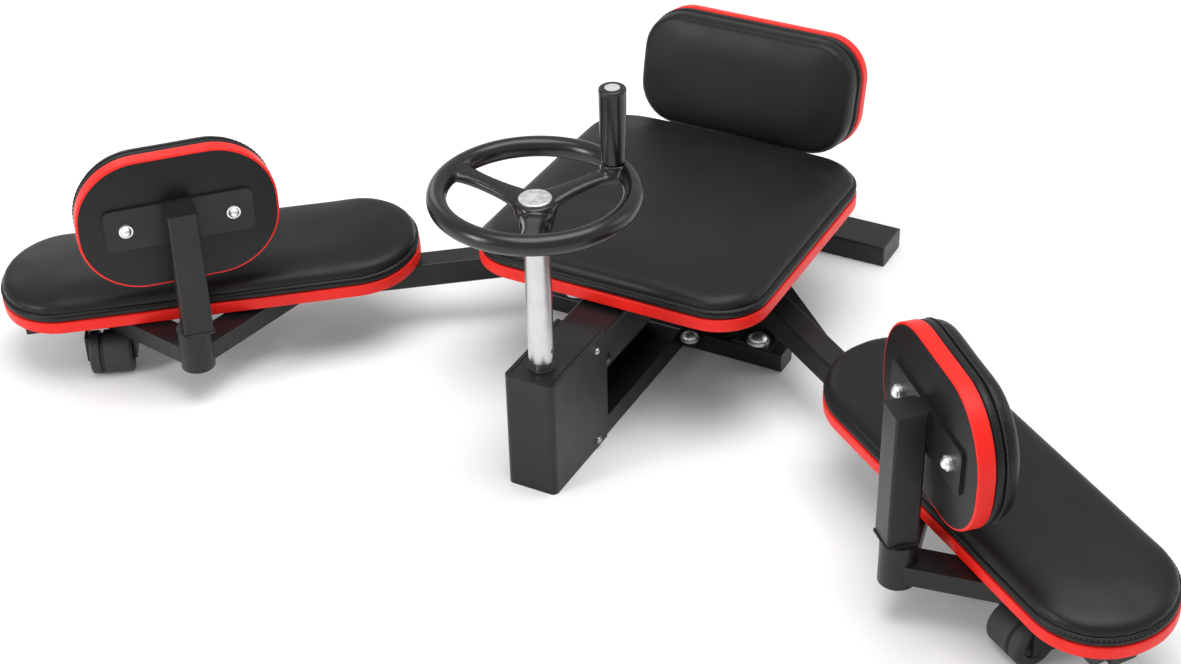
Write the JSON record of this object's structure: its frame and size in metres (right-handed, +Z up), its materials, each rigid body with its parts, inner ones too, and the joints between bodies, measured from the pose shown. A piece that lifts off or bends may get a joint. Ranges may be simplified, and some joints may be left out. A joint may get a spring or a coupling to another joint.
{
  "type": "leg stretching machine",
  "caption": "Seated leg stretcher: low beam with seat and backrest, hand wheel on a column, padded legs on rollers that swing apart.",
  "frame": {"origin": "middle of the footprint, on the floor", "axes": "+Z up, -Y towards the hand wheel and the open legs, +X to the right as seen from the front, which is the sitter's left; nodes named right_ are on +X"},
  "size_m": [1.2562, 0.6526, 0.4055],
  "materials": {
    "black_paint": "satin powder coat",
    "black_vinyl": "soft satin leatherette",
    "red_vinyl": "satin leatherette band",
    "gloss_black": "glossy moulded",
    "chrome_tube": "bright chrome",
    "chrome_nut": "bright zinc",
    "brushed_cap": "brushed",
    "dark_screw": "satin",
    "dark_steel": "oiled black oxide",
    "bronze": "machined",
    "black_rubber": "matte",
    "black_plastic": "matte"
  },
  "bodies": {
    "frame": {"backrest_board": "red_vinyl", "backrest_cushion": "black_vinyl", "backrest_post": "black_paint", "beam_nuts": "chrome_nut", "column_bush": "black_plastic", "cross_bar": "black_paint", "cushion_bolts": "chrome_nut", "gear_housing": "black_paint", "hinge_bolts": "chrome_nut", "hinge_brackets": "black_paint", "hinge_pins": "dark_steel", "housing_screws": "dark_screw", "main_beam": "black_paint", "rear_foot_bar": "black_paint", "screw_bearings": "black_paint", "seat_board": "red_vinyl", "seat_cushion": "black_vinyl", "seat_plates": "black_paint", "tail_tube": "black_paint", "tube_end_caps": "black_plastic"},
    "hand_wheel_set": {"hand_wheel": "gloss_black", "hub_cap": "brushed_cap", "column_tube": "chrome_tube", "column_shaft": "chrome_tube", "cross_pin": "dark_steel", "column_gear": "dark_steel", "grip_spindle": "chrome_nut"},
    "grip_sleeve": {"grip": "gloss_black"},
    "screw_set": {"lead_screw": "dark_steel", "screw_gear": "dark_steel"},
    "crosshead_set": {"crosshead_nut": "bronze", "crosshead_bar": "black_paint", "crosshead_pins": "dark_steel"},
    "right_leg": {"right_caster_bracket": "black_paint", "right_hinge_bush": "bronze", "right_leg_arm": "black_paint", "right_leg_board": "red_vinyl", "right_leg_cushion": "black_vinyl", "right_pad_post": "black_paint", "right_pad_saddles": "black_paint", "right_side_pad_board": "red_vinyl", "right_side_pad_cushion": "black_vinyl", "right_side_pad_nuts": "chrome_nut", "right_side_pad_plate": "black_paint", "right_v_brace": "black_paint"},
    "left_leg": {"left_caster_bracket": "black_paint", "left_hinge_bush": "bronze", "left_leg_arm": "black_paint", "left_leg_board": "red_vinyl", "left_leg_cushion": "black_vinyl", "left_pad_post": "black_paint", "left_pad_saddles": "black_paint", "left_side_pad_board": "red_vinyl", "left_side_pad_cushion": "black_vinyl", "left_side_pad_nuts": "chrome_nut", "left_side_pad_plate": "black_paint", "left_v_brace": "black_paint"},
    "right_caster": {"right_caster_roller": "black_rubber"},
    "left_caster": {"left_caster_roller": "black_rubber"}
  },
  "joints": [
    {"name": "wheel_turn", "type": "hinge", "parent": "frame", "child": "hand_wheel_set", "pos_m": [0, -0.2218, 0.3], "axis": [0, 0, 1], "range_deg": [-1680, 1424]},
    {"name": "grip_spin", "type": "hinge", "parent": "hand_wheel_set", "child": "grip_sleeve", "pos_m": [0.04557, -0.15423, 0.36], "axis": [0, 0, 1], "continuous": true},
    {"name": "screw_turn", "type": "hinge", "parent": "frame", "child": "screw_set", "pos_m": [0, -0.0218, 0.057], "axis": [0, 1, 0], "range_deg": [-1425, 1681]},
    {"name": "crosshead_slide", "type": "slide", "parent": "frame", "child": "crosshead_set", "axis": [0, 1, 0], "range_m": [-0.0317, 0.0374]},
    {"name": "right_leg_swing", "type": "hinge", "parent": "frame", "child": "right_leg", "pos_m": [0.104, 0.0792, 0.07], "axis": [0, 0, 1], "range_deg": [-46.01, 39]},
    {"name": "left_leg_swing", "type": "hinge", "parent": "frame", "child": "left_leg", "pos_m": [-0.104, 0.0792, 0.07], "axis": [0, 0, 1], "range_deg": [-39, 46.01]},
    {"name": "right_caster_roll", "type": "hinge", "parent": "right_leg", "child": "right_caster", "pos_m": [0.49992, -0.26439, 0.023], "axis": [0.8231, -0.5678, 0], "continuous": true},
    {"name": "left_caster_roll", "type": "hinge", "parent": "left_leg", "child": "left_caster", "pos_m": [-0.49992, -0.26439, 0.023], "axis": [-0.8231, -0.5678, 0], "continuous": true}
  ],
  "couplings": [
    {"joint": "screw_turn", "follows": "wheel_turn", "ratio": -1},
    {"joint": "crosshead_slide", "follows": "wheel_turn", "m_per_rad": -0.0012733},
    {"joint": "right_leg_swing", "follows": "wheel_turn", "ratio": 0.027382},
    {"joint": "left_leg_swing", "follows": "wheel_turn", "ratio": -0.027382}
  ]
}
